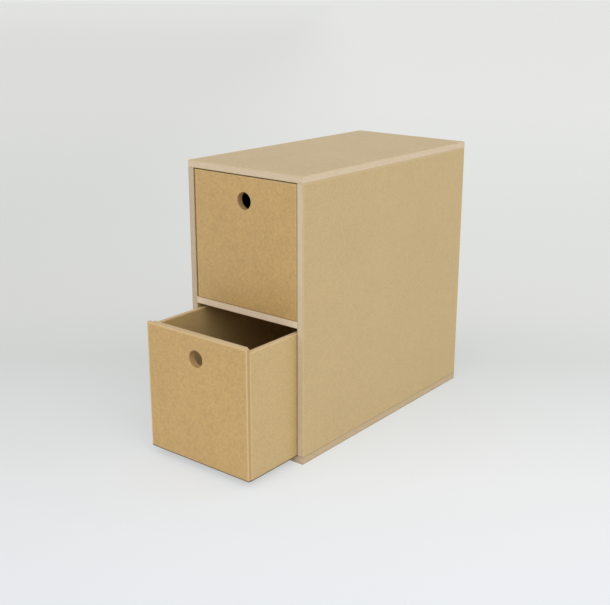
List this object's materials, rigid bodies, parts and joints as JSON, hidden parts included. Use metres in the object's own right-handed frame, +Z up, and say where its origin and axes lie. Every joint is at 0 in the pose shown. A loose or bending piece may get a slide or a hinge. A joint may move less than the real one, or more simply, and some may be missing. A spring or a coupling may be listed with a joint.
{
  "type": "disc storage drawer chest",
  "caption": "Small upright chest of stacked drawers in plain fibreboard, each with a round finger hole in its front, for storing discs in their cases.",
  "frame": {"origin": "centre of the carcass's footprint, on the surface the chest stands on", "axes": "+X to the right across the front, +Y from the front to the back, +Z up"},
  "size_m": [0.188, 0.466, 0.369],
  "materials": {
    "carcass_board": "raw sanded fibreboard, 9 mm",
    "drawer_board": "raw sanded fibreboard, 9 mm front and 6 mm box",
    "thin_board": "raw thin fibreboard, 3 mm",
    "dowel_wood": "beech",
    "brad_steel": "bright steel"
  },
  "bodies": {
    "cabinet": {"top_board": "carcass_board", "bottom_board": "carcass_board", "left_side": "carcass_board", "right_side": "carcass_board", "shelf": "carcass_board", "back_panel": "thin_board", "top_left_dowels": "dowel_wood", "top_right_dowels": "dowel_wood", "bottom_left_dowels": "dowel_wood", "bottom_right_dowels": "dowel_wood", "shelf_left_dowels": "dowel_wood", "shelf_right_dowels": "dowel_wood", "back_left_brads": "brad_steel", "back_right_brads": "brad_steel", "back_shelf_brads": "brad_steel"},
    "upper_drawer": {"upper_drawer_front": "drawer_board", "upper_drawer_left_side": "drawer_board", "upper_drawer_right_side": "drawer_board", "upper_drawer_back": "drawer_board", "upper_drawer_bottom": "thin_board"},
    "lower_drawer": {"lower_drawer_front": "drawer_board", "lower_drawer_left_side": "drawer_board", "lower_drawer_right_side": "drawer_board", "lower_drawer_back": "drawer_board", "lower_drawer_bottom": "thin_board"}
  },
  "joints": [
    {"name": "upper_drawer_slide", "type": "slide", "parent": "cabinet", "child": "upper_drawer", "axis": [0, -1, 0], "range_m": [0, 0.3]},
    {"name": "lower_drawer_slide", "type": "slide", "parent": "cabinet", "child": "lower_drawer", "axis": [0, -1, 0], "range_m": [-0.091, 0.209]}
  ]
}
